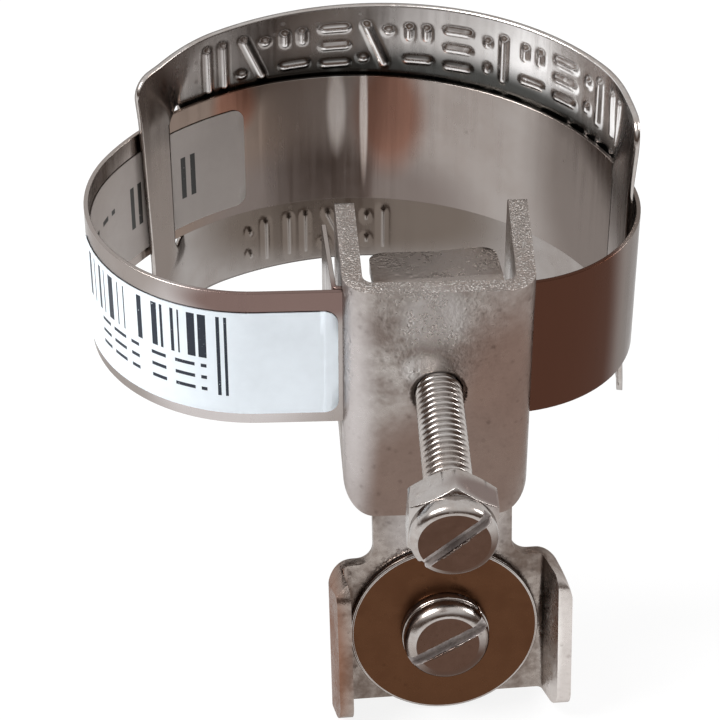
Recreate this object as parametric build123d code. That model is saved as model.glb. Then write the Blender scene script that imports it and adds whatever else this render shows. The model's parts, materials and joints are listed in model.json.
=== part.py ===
from build123d import *

"""Earthing pipe clamp: a steel channel body, a thin steel strap set in a loop for a 22 mm pipe,
a folded saddle that carries the earth terminal, a clamping screw with its lock nut, and an
aluminium tag threaded on the back of the loop.

Millimetres. X points right, Y from the clamping screw's head towards the pipe, Z up along the pipe.
The origin is where the clamping screw's axis meets the axis of the pipe.
"""
import os
from math import atan2, cos, degrees, hypot, radians, sin, sqrt, tan

# Pipe
pipe_diameter = 22.0
pipe_slack = 0.6

# Channel body, folded from one strip of sheet
body_width = 15.7
body_height = 23.4
body_sheet = 1.6
leg_depth = 14.2
leg_splay = 1.4
bend_inside = 1.0
foot_corner = 2.6
leg_tip_corner = 1.2
screw_below_top = 10.4
dimple_diameter = 5.4
dimple_depth = 0.35
collar_diameter = 5.6
collar_length = 0.6

# Strap
strap_sheet = 0.4
strap_width = 13.4
strap_below_top = 1.5
strap_play = 0.3
layer_gap = 0.1
slot_end_play = 0.35
back_radius = 24.35
loop_offset = 6.2
left_corner_offset = 8.7
right_corner_offset = 12.1
fold_radius = 0.5
tail_length = 8.8
tail_angle = 3.5
inner_end_setback = 0.8
screw_hole_play = 0.3

# Labels stuck on the strap
label_sheet = 0.1
label_top_margin = 1.9
label_width = 10.4
outer_label_from_leg = 0.6
outer_label_wrap_angle = 82.5
inner_label_reach_angle = 38.5
inner_label_wrap_angle = 47.5
label_corner = 1.2
glue_line = 0.02

# Warning tag
tag_sheet = 0.5
tag_height = 27.0
tag_play = 0.3
tag_tilt = 2.4
tag_left_margin = 10.5
tag_right_margin = 4.6
tag_right_wrap = 3.8
tag_right_slant = 4.5
tag_strip = 3.2
tag_slot = 2.6
tag_corner = 1.9
tag_slot_corner = 0.7

# Saddle with the earth terminal, folded from one strip of sheet, as it hangs on the screw's tip
saddle_sheet = 1.2
saddle_play = 0.15
saddle_side_play = 0.8
saddle_bend_inside = 0.6
saddle_below_top = 3.3
saddle_lean = 9.15
saddle_roll = 0.4
saddle_turn = 3.0
saddle_shift = 0.5
shelf_depth = 6.0
shelf_vee = 0.45
shelf_corner = 1.4
neck_side_play = 0.15
neck_below_body = 0.35
terminal_below_screw = 26.5
plate_above = 6.8
plate_below = 7.4
plate_shift = -0.35
shoulder_step = 4.0
shoulder_inside = 1.5
shoulder_outside = 2.6
wing_depth = 3.9
left_wing_lean = 8.5
right_wing_lean = 13.0
wing_bend_inside = 0.5
wing_corner = 1.7

# Clamping screw and lock nut, M4
thread_diameter = 4.0
thread_pitch = 0.7
thread_play = 0.05
screw_length = 21.5
screw_head_diameter = 6.9
screw_head_height = 1.6
screw_head_round = 0.6
screw_slot_width = 0.9
screw_slot_depth = 0.9
screw_slot_angle = 42.0
screw_tip_gap = 0.02
tip_chamfer = 0.5
nut_across_flats = 7.0
nut_height = 3.0
nut_turn = 28.0

# Terminal screw, spring washer and flat washer, M4
terminal_screw_length = 7.0
terminal_head_diameter = 7.6
terminal_head_height = 1.6
terminal_head_round = 1.0
terminal_slot_width = 1.0
terminal_slot_depth = 0.9
terminal_slot_angle = 28.0
spring_diameter = 7.8
spring_sheet = 0.9
spring_split = 0.5
spring_split_angle = 40.0
washer_diameter = 16.8
washer_sheet = 0.8
washer_rim_chamfer = 0.15
stack_gap = 0.02

# Places that follow from these sizes
pipe_space = pipe_diameter + pipe_slack
web_y = -(leg_depth + pipe_space / 2)
web_back_y = web_y + body_sheet
body_top = screw_below_top
body_foot = body_top - body_height
inner_half = body_width / 2 - body_sheet
collar_end_y = web_back_y + collar_length
slot_front_y = collar_end_y
layer_1_y = slot_front_y + strap_play + strap_sheet / 2
layer_2_y = layer_1_y + strap_sheet + layer_gap
slot_back_y = layer_2_y + strap_sheet / 2 + strap_play
strap_top = body_top - strap_below_top
strap_foot = strap_top - strap_width
saddle_width = 2 * (inner_half - saddle_side_play)
lean_slope = tan(radians(saddle_lean))
turn_slope = tan(radians(saddle_turn))
saddle_front_y = layer_2_y + strap_sheet / 2 + saddle_play
saddle_front_y += -strap_foot * lean_slope + saddle_width / 2 * turn_slope
screw_tip_y = saddle_front_y - saddle_shift * turn_slope - screw_tip_gap
screw_tip_y -= (thread_diameter / 2 - tip_chamfer) * hypot(turn_slope, lean_slope)
neck_width = 2 * (inner_half - neck_side_play)
plate_width = neck_width + 2 * shoulder_step
saddle_top = body_top - saddle_below_top
neck_top = (body_foot - neck_below_body) / cos(radians(saddle_lean))
saddle_place = Pos(saddle_shift, saddle_front_y, 0) * Rot(0, 0, saddle_turn)
saddle_place *= Rot(0, -saddle_roll, 0) * Rot(-saddle_lean, 0, 0)
terminal_seat = Plane(origin=(0, 0, -terminal_below_screw), x_dir=(1, 0, 0), z_dir=(0, -1, 0))
loop_centre = (-loop_offset, pipe_space / 2 + strap_sheet / 2 - back_radius)
tag_sweep_clearance = strap_sheet / 2 + tag_play + tag_sheet / 2


def corner_arc(side, offset, layer_y):
    """Centre, radius and joining angle of a corner arc of the loop.

    The arc touches the straight run at layer_y and the back arc of the loop from inside.
    """
    rise = loop_centre[1] - layer_y
    radius = (back_radius**2 - rise**2 - offset**2) / (2 * (back_radius - rise))
    centre = (loop_centre[0] + side * offset, layer_y + radius)
    lift = degrees(atan2(centre[1] - loop_centre[1], offset))
    return centre, radius, lift if side > 0 else 180 - lift


left_centre, left_radius, left_join = corner_arc(-1, left_corner_offset, layer_1_y)
right_centre, right_radius, right_join = corner_arc(1, right_corner_offset, layer_2_y)


def on_circle(centre, radius, angle):
    """Point of a circle at an angle in degrees."""
    return (centre[0] + radius * cos(radians(angle)), centre[1] + radius * sin(radians(angle)))


def straight(start, end):
    """Straight piece of a band's centre line."""
    return {"kind": "line", "start": start, "end": end}


def turn(centre, radius, start, end):
    """Round piece of a band's centre line, from one angle to another."""
    return {"kind": "arc", "centre": centre, "radius": radius, "start": start, "end": end}


def side_edge(piece, side):
    """Edge that runs beside a piece of centre line, to its left where side is positive."""
    if piece["kind"] == "line":
        along = Vector(piece["end"]) - Vector(piece["start"])
        normal = Vector(-along.Y, along.X).normalized() * side
        return Line(Vector(piece["start"]) + normal, Vector(piece["end"]) + normal)
    sweep = piece["end"] - piece["start"]
    radius = piece["radius"] - side * (1 if sweep > 0 else -1)
    return CenterArc(piece["centre"], radius, piece["start"], sweep)


def band(pieces, right, left, foot, height):
    """Upright band along a centre line, between two distances from that line."""
    left_edges = [side_edge(piece, left) for piece in pieces]
    right_edges = [side_edge(piece, right) for piece in pieces]
    start_cap = Line(left_edges[0] @ 0, right_edges[0] @ 0)
    end_cap = Line(left_edges[-1] @ 1, right_edges[-1] @ 1)
    outline = make_face(Curve() + left_edges + right_edges + [start_cap, end_cap])
    return extrude(Pos(0, 0, foot) * outline, amount=height, dir=(0, 0, 1))


def across(x, z, radius, y_from, y_to):
    """Cylinder along Y."""
    return Pos(x, (y_from + y_to) / 2, z) * Rot(90, 0, 0) * Cylinder(radius, abs(y_to - y_from))


def block(x, y, z):
    """Box between two limits on each axis."""
    size = (x[1] - x[0], y[1] - y[0], z[1] - z[0])
    return Pos((x[0] + x[1]) / 2, (y[0] + y[1]) / 2, (z[0] + z[1]) / 2) * Box(*size)


def front_prism(outline, y_from, y_to):
    """Outline drawn on XZ, drawn out along Y."""
    plane = Plane(origin=(0, y_to, 0), x_dir=(1, 0, 0), z_dir=(0, -1, 0))
    return extrude(plane * outline, amount=y_to - y_from)


def clamp_body():
    """Channel with two legs towards the pipe, slots for the strap and a tapped web."""
    half = body_width / 2
    bend_outside = bend_inside + body_sheet
    spread = tan(radians(leg_splay)) * leg_depth
    outside = Polyline(
        (-half - spread, leg_depth), (-half, 0), (half, 0), (half + spread, leg_depth)
    )
    path = outside.edges()
    outer = make_face(path + [Line((half + spread, leg_depth), (-half - spread, leg_depth))])
    outer = fillet(outer.vertices().filter_by(lambda v: v.Y < bend_outside / 2), bend_outside)
    inner_foot = body_sheet
    inner_spread = tan(radians(leg_splay)) * (leg_depth - inner_foot)
    inner = make_face(
        Polyline(
            (-inner_half - inner_spread, leg_depth),
            (-inner_half, inner_foot),
            (inner_half, inner_foot),
            (inner_half + inner_spread, leg_depth),
            close=True,
        )
    )
    inner = fillet(inner.vertices().filter_by(lambda v: v.Y < leg_depth / 2), bend_inside)
    section = Pos(0, web_y, body_foot) * (outer - inner)
    channel = extrude(section, amount=body_height, dir=(0, 0, 1))

    corner = Pos(-foot_corner, foot_corner) * (
        Rectangle(2 * foot_corner, 2 * foot_corner, align=(Align.MIN, Align.MAX))
        - Circle(foot_corner)
    )
    corner_cut = front_prism(corner, -foot_corner, 2 * leg_depth)
    for side in (-1, 1):
        lower = corner_cut if side > 0 else mirror(corner_cut, Plane.YZ)
        channel -= Pos(side * half, web_y, body_foot) * Rot(0, 0, -side * leg_splay) * lower
    side_view = Pos(web_y, body_foot) * Rectangle(leg_depth, body_height, align=Align.MIN)
    side_view = fillet(side_view.vertices().group_by(Axis.X)[-1], leg_tip_corner)
    side_plane = Plane(origin=(0, 0, 0), x_dir=(0, 1, 0), z_dir=(1, 0, 0))
    channel &= extrude(side_plane * side_view, amount=body_width, both=True)

    slot = block(
        (-body_width, body_width),
        (slot_front_y, slot_back_y),
        (strap_foot - slot_end_play, strap_top + slot_end_play),
    )
    between_legs = (-inner_half, inner_half)
    web_space = block(between_legs, (web_y, slot_back_y + collar_length), (body_foot, body_top))
    channel -= slot - web_space
    channel += across(0, 0, collar_diameter / 2, web_back_y - body_sheet / 2, collar_end_y)
    dimple = Pos(0, web_y, 0) * Rot(90, 0, 0)
    dimple *= Cone(thread_diameter / 2, dimple_diameter / 2 + dimple_depth, 2 * dimple_depth)
    channel -= dimple
    bore = thread_diameter / 2 + thread_play
    channel -= across(0, 0, bore, web_y - collar_length, collar_end_y + collar_length)
    return channel


def strap_pieces():
    """Centre line of the strap, from its inner end round the loop to its folded tail."""
    inner_end = (inner_half - inner_end_setback, layer_1_y)
    fold_x = -(body_width / 2 + fold_radius / 2)
    fold_centre = (fold_x, layer_2_y + fold_radius)
    fold_end = 180 + tail_angle
    tail_start = on_circle(fold_centre, fold_radius, fold_end)
    heading = Vector(-sin(radians(tail_angle)), cos(radians(tail_angle)))
    tail_end = Vector(tail_start) + heading * tail_length
    return [
        straight(inner_end, (left_centre[0], layer_1_y)),
        turn(left_centre, left_radius, 270, left_join),
        turn(loop_centre, back_radius, left_join, right_join),
        turn(right_centre, right_radius, right_join, -90),
        straight((right_centre[0], layer_2_y), (fold_x, layer_2_y)),
        turn(fold_centre, fold_radius, 270, fold_end),
        straight(tail_start, tail_end),
    ]


def strap():
    """Thin band: its inner end and its other end both cross the channel behind the web."""
    half = strap_sheet / 2
    loop = band(strap_pieces(), -half, half, strap_foot, strap_width)
    hole = thread_diameter / 2 + screw_hole_play
    return loop - across(0, 0, hole, layer_1_y - strap_sheet, layer_2_y + strap_sheet)


def rounded_ends(label):
    """Label with its four corners rounded."""
    corners = label.edges().filter_by(lambda e: e.length < 2 * label_sheet)
    return fillet(corners, label_corner)


def outer_label():
    """Label outside the strap, from the left leg round the left side of the loop."""
    near_leg = (-body_width / 2 - outer_label_from_leg, layer_1_y)
    pieces = [
        straight(near_leg, (left_centre[0], layer_1_y)),
        turn(left_centre, left_radius, 270, 270 - outer_label_wrap_angle),
    ]
    foot = strap_top - label_top_margin - label_width
    inside = strap_sheet / 2 + glue_line
    return rounded_ends(band(pieces, inside, inside + label_sheet, foot, label_width))


def inner_label():
    """Label inside the strap, from the back of the loop round its left side."""
    pieces = [
        turn(left_centre, left_radius, left_join + inner_label_wrap_angle, left_join),
        turn(loop_centre, back_radius, left_join, left_join - inner_label_reach_angle),
    ]
    foot = strap_top - label_top_margin - label_width
    inside = -strap_sheet / 2 - glue_line
    return rounded_ends(band(pieces, inside - label_sheet, inside, foot, label_width))


def warning_tag():
    """Curved plate outside the loop, with end strips inside it beyond two slots."""
    first = right_join - degrees(tag_right_wrap / right_radius)
    last = left_join - tag_left_margin
    strip = degrees(tag_strip / back_radius)
    slot = degrees(tag_slot / back_radius)
    outside = back_radius + tag_sweep_clearance
    inside = back_radius - tag_sweep_clearance
    right_slot = right_join + tag_right_margin
    left_slot = last - strip - slot
    centre_z = (strap_top + strap_foot) / 2
    run_out = degrees(tag_height / right_radius) * tan(radians(tag_right_slant))

    def surface(offset):
        """Edges of one face of the plate in plan, from the right end to the left."""
        corner_radius = right_radius - tag_sweep_clearance + offset
        corner_start = first - 2 * run_out
        corner = CenterArc(right_centre, corner_radius, corner_start, right_join - corner_start)
        low = CenterArc(loop_centre, inside + offset, right_join, tag_right_margin)
        sweep = left_slot - right_slot - slot
        high = CenterArc(loop_centre, outside + offset, right_slot + slot, sweep)
        end = CenterArc(loop_centre, inside + offset, left_slot + slot, strip + run_out)
        up = Spline(low @ 1, high @ 0, tangents=(low % 1, high % 0))
        down = Spline(high @ 1, end @ 0, tangents=(high % 1, end % 0))
        return [corner, low, up, high, down, end]

    def face_on(centre, angle, radius, tilt):
        """Plane seen square on from inside the loop, tilted in itself."""
        out = Vector(cos(radians(angle)), sin(radians(angle)), 0)
        right = Vector(out.Y, -out.X, 0)
        place = on_circle(centre, radius, angle)
        return Plane(origin=(*place, centre_z), x_dir=right, z_dir=-out) * Rot(0, 0, tilt)

    faces = [surface(-tag_sheet / 2), surface(tag_sheet / 2)]
    caps = [Line(faces[0][0] @ 0, faces[1][0] @ 0), Line(faces[0][-1] @ 1, faces[1][-1] @ 1)]
    plan = make_face(Curve() + faces[0] + faces[1] + caps)
    plate = extrude(Pos(0, 0, centre_z - tag_height) * plan, amount=2 * tag_height, dir=(0, 0, 1))
    middle = face_on(loop_centre, (first + last) / 2, 0, tag_tilt)
    plate &= middle * Box(4 * outside, tag_height, 4 * outside)
    ends = [
        (right_centre, first, right_radius, tag_right_slant, 1),
        (loop_centre, last, inside, tag_tilt, -1),
    ]
    for centre, angle, radius, tilt, side in ends:
        beyond = Pos(side * tag_height, 0, 0) * Box(2 * tag_height, 2 * tag_height, radius)
        plate -= face_on(centre, angle, radius, tilt) * beyond
    corners = plate.edges().filter_by(lambda e: e.length < 2 * tag_sheet)
    plate = fillet(corners, tag_corner)

    slot_height = strap_width + 2 * slot_end_play
    window_reach = 2 * tag_sweep_clearance
    window_foot = centre_z - slot_height / 2
    for start in (right_slot, left_slot):
        slot_plan = turn(loop_centre, back_radius, start, start + slot)
        window = band([slot_plan], -window_reach, window_reach, window_foot, slot_height)
        window_corners = window.edges().filter_by(lambda e: abs(e.length - 2 * window_reach) < 0.01)
        plate -= fillet(window_corners, tag_slot_corner)
    return plate


def saddle_profile():
    """Side view of the saddle's middle strip: shelf and straight plate, in the saddle's own frame."""
    back = saddle_sheet
    shelf_end = back + shelf_depth
    plate_foot = -terminal_below_screw - plate_below
    points = [
        (shelf_end, saddle_top),
        (0, saddle_top),
        (0, plate_foot),
        (back, plate_foot),
        (back, saddle_top - back),
        (shelf_end, saddle_top - back),
    ]
    side_plane = Plane(origin=(0, 0, 0), x_dir=(0, 1, 0), z_dir=(1, 0, 0))
    face = make_face(Polyline(*points, close=True))
    corner = face.vertices().sort_by_distance((0, saddle_top))[0]
    face = fillet(corner, saddle_bend_inside + back)
    corner = face.vertices().sort_by_distance((back, saddle_top - back))[0]
    face = fillet(corner, saddle_bend_inside)
    return extrude(side_plane * face, amount=neck_width / 2, both=True)


def trough_section(filled):
    """Cross-section of the terminal plate and its wings: X across, Y out of the plate's face."""
    left = -plate_width / 2
    right = plate_width / 2
    left_slope = tan(radians(left_wing_lean))
    right_slope = tan(radians(right_wing_lean))
    reach = wing_depth + saddle_sheet
    outer = make_face(
        Polyline(
            (left + left_slope * reach, wing_depth),
            (left, -saddle_sheet),
            (right, -saddle_sheet),
            (right + right_slope * reach, wing_depth),
            close=True,
        )
    )
    outer = fillet(outer.vertices().group_by(Axis.Y)[0], wing_bend_inside + saddle_sheet)
    if filled:
        return outer
    left += saddle_sheet * (left_slope + 1 / cos(radians(left_wing_lean)))
    right += saddle_sheet * (right_slope - 1 / cos(radians(right_wing_lean)))
    inner = make_face(
        Polyline(
            (left + left_slope * wing_depth, wing_depth),
            (left, 0),
            (right, 0),
            (right + right_slope * wing_depth, wing_depth),
            close=True,
        )
    )
    return outer - fillet(inner.vertices().group_by(Axis.Y)[0], wing_bend_inside)


def terminal_trough():
    """Terminal plate with its two folded wings and curved shoulders, drawn on its own face."""
    height = plate_above + plate_below
    lengthwise = Plane(origin=(plate_shift, plate_above, 0), x_dir=(1, 0, 0), z_dir=(0, -1, 0))
    trough = extrude(lengthwise * trough_section(False), amount=height)
    envelope = extrude(lengthwise * trough_section(True), amount=2 * height, both=True)
    tips = trough.edges().filter_by(Axis.X, tolerance=5).group_by(Axis.Z)[-1]
    trough = fillet(tips, wing_corner)

    reach = plate_width / 2 + tan(radians(right_wing_lean)) * (wing_depth + saddle_sheet)
    plate_left = plate_shift - plate_width / 2
    plate_right = plate_shift + reach
    plate = Pos((plate_left + plate_right) / 2, (plate_above - plate_below) / 2)
    plate *= Rectangle(plate_right - plate_left, height)
    plate = fillet(plate.vertices().group_by(Axis.Y)[-1], shoulder_outside)
    neck_reach = (plate_above + terminal_below_screw + neck_top) / 2
    outline = plate + Pos(0, neck_reach / 2) * Rectangle(neck_width, neck_reach)
    inside = outline.vertices().filter_by(
        lambda v: abs(abs(v.X) - neck_width / 2) < 0.01 and abs(v.Y - plate_above) < 0.01
    )
    outline = fillet(inside, shoulder_inside)
    prism = Pos(0, 0, -saddle_sheet) * extrude(outline, amount=saddle_sheet + wing_depth)
    sheet = Pos(0, 0, -saddle_sheet) * extrude(outline, amount=saddle_sheet)
    return (trough & prism) + (sheet & envelope)


def terminal_saddle():
    """Folded piece: shelf and bearing plate in the channel, terminal with two wings below it."""
    saddle = saddle_profile()
    shelf_end = saddle_sheet + shelf_depth
    for side in (-1, 1):
        x = sorted((side * saddle_width / 2, side * neck_width))
        saddle -= block(x, (-shelf_end, 2 * shelf_end), (neck_top, 2 * saddle_top))
    half = saddle_width / 2
    middle = (0, shelf_end - shelf_vee)
    vee = make_face(Polyline((-half, shelf_end), middle, (half, shelf_end), close=True))
    saddle -= extrude(vee, amount=2 * saddle_top, dir=(0, 0, 1))
    shelf_edges = saddle.edges().filter_by(Axis.Z).group_by(Axis.Y)[-1]
    saddle = fillet(shelf_edges, shelf_corner)
    saddle += terminal_seat * terminal_trough()
    bore = thread_diameter / 2 + thread_play
    saddle -= terminal_seat * Cylinder(bore, 4 * saddle_sheet)
    return saddle_place * saddle


def slotted_head(diameter, height, rounding, slot_width, slot_depth, slot_angle):
    """Cheese head standing on Z = 0, with a screwdriver slot at an angle to X."""
    head = Pos(0, 0, height / 2) * Cylinder(diameter / 2, height)
    head = fillet(head.edges().group_by(Axis.Z)[-1], rounding)
    slot = Pos(0, 0, height) * Box(2 * diameter, slot_width, 2 * slot_depth)
    return head - Rot(0, 0, slot_angle) * slot


def shank(length):
    """Threaded shank below Z = 0, with a chamfered tip."""
    body = Pos(0, 0, -length / 2) * Cylinder(thread_diameter / 2, length)
    return chamfer(body.edges().group_by(Axis.Z)[0], tip_chamfer)


def clamping_screw():
    """Slotted screw through the web, its tip on the saddle's bearing plate."""
    screw = slotted_head(
        screw_head_diameter,
        screw_head_height,
        screw_head_round,
        screw_slot_width,
        screw_slot_depth,
        screw_slot_angle,
    )
    screw += shank(screw_length)
    facing = Plane(origin=(0, screw_tip_y - screw_length, 0), x_dir=(1, 0, 0), z_dir=(0, -1, 0))
    return facing * screw


def lock_nut():
    """Thin hexagonal nut run up under the clamping screw's head."""
    corner = nut_across_flats / sqrt(3)
    nut = extrude(Rot(0, 0, nut_turn) * RegularPolygon(corner, 6), amount=nut_height)
    rounding = Pos(0, 0, nut_height / 2) * Cylinder(corner * 1.001, nut_height)
    bevel = corner - nut_across_flats / 2
    rims = rounding.edges()
    rounding = chamfer(rims, bevel * 0.6, bevel * 1.05)
    nut &= rounding
    nut -= Pos(0, 0, nut_height / 2) * Cylinder(thread_diameter / 2 + thread_play, 2 * nut_height)
    back_y = screw_tip_y - screw_length + nut_height + stack_gap
    facing = Plane(origin=(0, back_y, 0), x_dir=(1, 0, 0), z_dir=(0, -1, 0))
    return facing * nut


def terminal_washer():
    """Large flat washer on the terminal plate."""
    washer = Pos(0, 0, stack_gap + washer_sheet / 2) * Cylinder(washer_diameter / 2, washer_sheet)
    washer = chamfer(washer.edges(), washer_rim_chamfer)
    washer -= Cylinder(thread_diameter / 2 + 3 * thread_play, 4 * washer_sheet)
    return saddle_place * (terminal_seat * washer)


def spring_washer():
    """Split ring under the terminal screw's head."""
    foot = 2 * stack_gap + washer_sheet
    ring = Pos(0, 0, foot + spring_sheet / 2) * Cylinder(spring_diameter / 2, spring_sheet)
    ring -= Cylinder(thread_diameter / 2 + 3 * thread_play, 4 * (foot + spring_sheet))
    gap = Pos(spring_diameter / 2, 0, foot + spring_sheet / 2)
    gap *= Rot(20, 0, 0) * Box(spring_diameter, spring_split, 3 * spring_sheet)
    return saddle_place * (terminal_seat * (ring - Rot(0, 0, spring_split_angle) * gap))


def terminal_screw():
    """Slotted screw that clamps the earth conductor under the flat washer."""
    screw = slotted_head(
        terminal_head_diameter,
        terminal_head_height,
        terminal_head_round,
        terminal_slot_width,
        terminal_slot_depth,
        terminal_slot_angle,
    )
    screw += shank(terminal_screw_length)
    seat = 3 * stack_gap + washer_sheet + spring_sheet
    return saddle_place * (terminal_seat * Pos(0, 0, seat) * screw)


def write(name, solid):
    """Save one sub-part under its node's name."""
    export_step(solid, f"parts/{name}.step")


def main():
    os.makedirs("parts", exist_ok=True)
    write("clamp_body", clamp_body())
    write("strap", strap())
    write("outer_label", outer_label())
    write("inner_label", inner_label())
    write("warning_tag", warning_tag())
    write("terminal_saddle", terminal_saddle())
    write("clamping_screw", clamping_screw())
    write("lock_nut", lock_nut())
    write("terminal_washer", terminal_washer())
    write("spring_washer", spring_washer())
    write("terminal_screw", terminal_screw())


main()
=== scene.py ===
# %% [markdown]
# # Earthing pipe clamp
# A small plated steel clamp that bonds an earth conductor to a pipe. A channel body holds a
# thin springy strap in a loop, a screw through the body pushes a folded saddle against the
# pipe, and the saddle carries the earth terminal below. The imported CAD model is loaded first
# as a fixed frame, and everything in this scene is placed by it. Blender works in metres, and
# the shapes here are written in millimetres, so MM turns one into the other.

# %% Load the frame
import json
import math

import bmesh
import bpy
from mathutils import Matrix, Vector


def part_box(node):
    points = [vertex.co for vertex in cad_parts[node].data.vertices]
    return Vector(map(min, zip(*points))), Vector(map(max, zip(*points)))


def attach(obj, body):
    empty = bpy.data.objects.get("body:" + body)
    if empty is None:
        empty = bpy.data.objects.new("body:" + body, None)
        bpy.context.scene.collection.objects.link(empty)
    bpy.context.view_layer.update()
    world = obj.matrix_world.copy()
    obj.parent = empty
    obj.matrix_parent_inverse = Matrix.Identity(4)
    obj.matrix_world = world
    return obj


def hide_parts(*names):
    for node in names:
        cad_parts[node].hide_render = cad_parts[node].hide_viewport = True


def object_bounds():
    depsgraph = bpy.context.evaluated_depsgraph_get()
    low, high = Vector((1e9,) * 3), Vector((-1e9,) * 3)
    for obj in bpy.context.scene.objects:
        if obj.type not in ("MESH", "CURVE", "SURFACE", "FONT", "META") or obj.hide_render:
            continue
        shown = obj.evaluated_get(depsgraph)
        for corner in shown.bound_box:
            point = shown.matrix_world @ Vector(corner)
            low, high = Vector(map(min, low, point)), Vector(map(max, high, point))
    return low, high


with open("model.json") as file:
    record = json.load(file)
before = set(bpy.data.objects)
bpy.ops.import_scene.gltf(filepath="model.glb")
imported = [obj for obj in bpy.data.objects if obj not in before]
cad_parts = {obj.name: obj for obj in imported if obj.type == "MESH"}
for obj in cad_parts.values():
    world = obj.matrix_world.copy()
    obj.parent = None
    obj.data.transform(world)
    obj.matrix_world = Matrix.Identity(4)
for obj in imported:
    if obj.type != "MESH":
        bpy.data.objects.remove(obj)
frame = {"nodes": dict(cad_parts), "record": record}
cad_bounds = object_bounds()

MM = 0.001
nodes = frame["nodes"]
print("nodes:", ", ".join(sorted(nodes)))

# %% [markdown]
# ## Camera
# The picture looks down at the clamp from the front, 37 degrees above the horizon, from about
# 23 cm away. That is close for a thing of 5 cm, so the near end of the screw looks large, and
# a longer lens from further away would lose that. The place and the angle of view came from
# fitting the edges of the clamp to the picture.

# %% Camera
camera_data = bpy.data.cameras.new("camera")
camera_data.angle = math.radians(15.88)
camera_data.clip_start = 0.01
camera = bpy.data.objects.new("camera", camera_data)
camera.location = (-0.01335, -0.19466, 0.13082)
camera.rotation_euler = (math.radians(90 - 36.88), 0, math.radians(-2.3))
bpy.context.scene.collection.objects.link(camera)
bpy.context.scene.camera = camera
bpy.context.scene.view_settings.view_transform = "Standard"
print("camera distance:", round(camera.location.length, 3), "m")

# %% [markdown]
# ## Nodes for materials
# A material is a small graph. It could be wired by hand in the shader editor, but a script
# keeps the graphs of many metals alike. This helper adds one node and sets its inputs: a plain
# value is typed in, and the output of another node is linked.


# %% Add a node
def put(tree, kind, settings=None, **inputs):
    """Add a node. Inputs are values, or output sockets to link. i0 is input number 0."""
    node = tree.nodes.new("ShaderNode" + kind)
    for name, value in (settings or {}).items():
        setattr(node, name, value)
    for name, value in inputs.items():
        numbered = name[0] == "i" and name[1:].isdigit()
        key = int(name[1:]) if numbered else name.replace("_", " ")
        if isinstance(value, bpy.types.NodeSocket):
            tree.links.new(value, node.inputs[key])
        else:
            node.inputs[key].default_value = value
    return node


print("helper:", put.__name__)

# %% [markdown]
# ## Sums, ramps and mixes
# Most of a graph is arithmetic. Four small helpers keep it readable: a sum, a smooth change
# from one range to another, a test whether a value lies between two limits, and a mix of two
# colours.


# %% Sums, ramps and mixes
def calc(tree, operation, first, second=0.5, third=None, clamp=False):
    """One Math node's result."""
    values = {"i0": first, "i1": second}
    if third is not None:
        values["i2"] = third
    node = put(tree, "Math", {"operation": operation, "use_clamp": clamp}, **values)
    return node.outputs[0]


def ramp(tree, value, low, high, to_low=0.0, to_high=1.0):
    """Value rescaled smoothly from one range to another."""
    settings = {"interpolation_type": "SMOOTHSTEP"}
    node = put(tree, "MapRange", settings, Value=value, From_Min=low, From_Max=high)
    node.inputs["To Min"].default_value = to_low
    node.inputs["To Max"].default_value = to_high
    return node.outputs["Result"]


def between(tree, value, low, high):
    """1 where a value lies between two limits, and 0 elsewhere."""
    above = calc(tree, "GREATER_THAN", value, low)
    return calc(tree, "MULTIPLY", above, calc(tree, "LESS_THAN", value, high))


def mix_colours(tree, factor, first, second):
    """Mix of two colours."""
    node = put(tree, "Mix", {"data_type": "RGBA"}, Factor=factor)
    for socket, value in ((node.inputs[6], first), (node.inputs[7], second)):
        if isinstance(value, bpy.types.NodeSocket):
            tree.links.new(value, socket)
        else:
            socket.default_value = value
    return node.outputs[2]


print("helpers:", calc.__name__, ramp.__name__, between.__name__, mix_colours.__name__)

# %% [markdown]
# ## Shared effects as groups
# An effect that several metals need could be copied from one to the next, but then a change
# has to be made in each. So it is built once as a node group, with named inputs and outputs,
# and placed in each material with its own values. Only masks, colours and heights leave a
# group. The shader itself stays in the material.


# %% Make and place a node group
def new_group(name, inputs, outputs):
    """Shader node group with named float, vector or colour sockets."""
    group = bpy.data.node_groups.new(name, "ShaderNodeTree")
    kinds = {"f": "NodeSocketFloat", "v": "NodeSocketVector", "c": "NodeSocketColor"}
    for socket_name, kind, default in inputs:
        socket = group.interface.new_socket(socket_name, in_out="INPUT", socket_type=kinds[kind])
        if default is not None:
            socket.default_value = default
    for socket_name, kind in outputs:
        group.interface.new_socket(socket_name, in_out="OUTPUT", socket_type=kinds[kind])
    return group, group.nodes.new("NodeGroupInput"), group.nodes.new("NodeGroupOutput")


def use_group(tree, group, **inputs):
    """Place a node group in a material and set its inputs."""
    node = tree.nodes.new("ShaderNodeGroup")
    node.node_tree = group
    for name, value in inputs.items():
        if isinstance(value, bpy.types.NodeSocket):
            tree.links.new(value, node.inputs[name])
        else:
            node.inputs[name].default_value = value
    return node


print("helpers:", new_group.__name__, use_group.__name__)

# %% [markdown]
# ## Plating clouds
# Plating is never even: it is a little darker, warmer and duller in soft clouds. A painted
# stain map would do too, but noise in two sizes gives the same at any distance and needs no
# picture. The group puts out the tinted colour and the roughness that goes with it.


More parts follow.
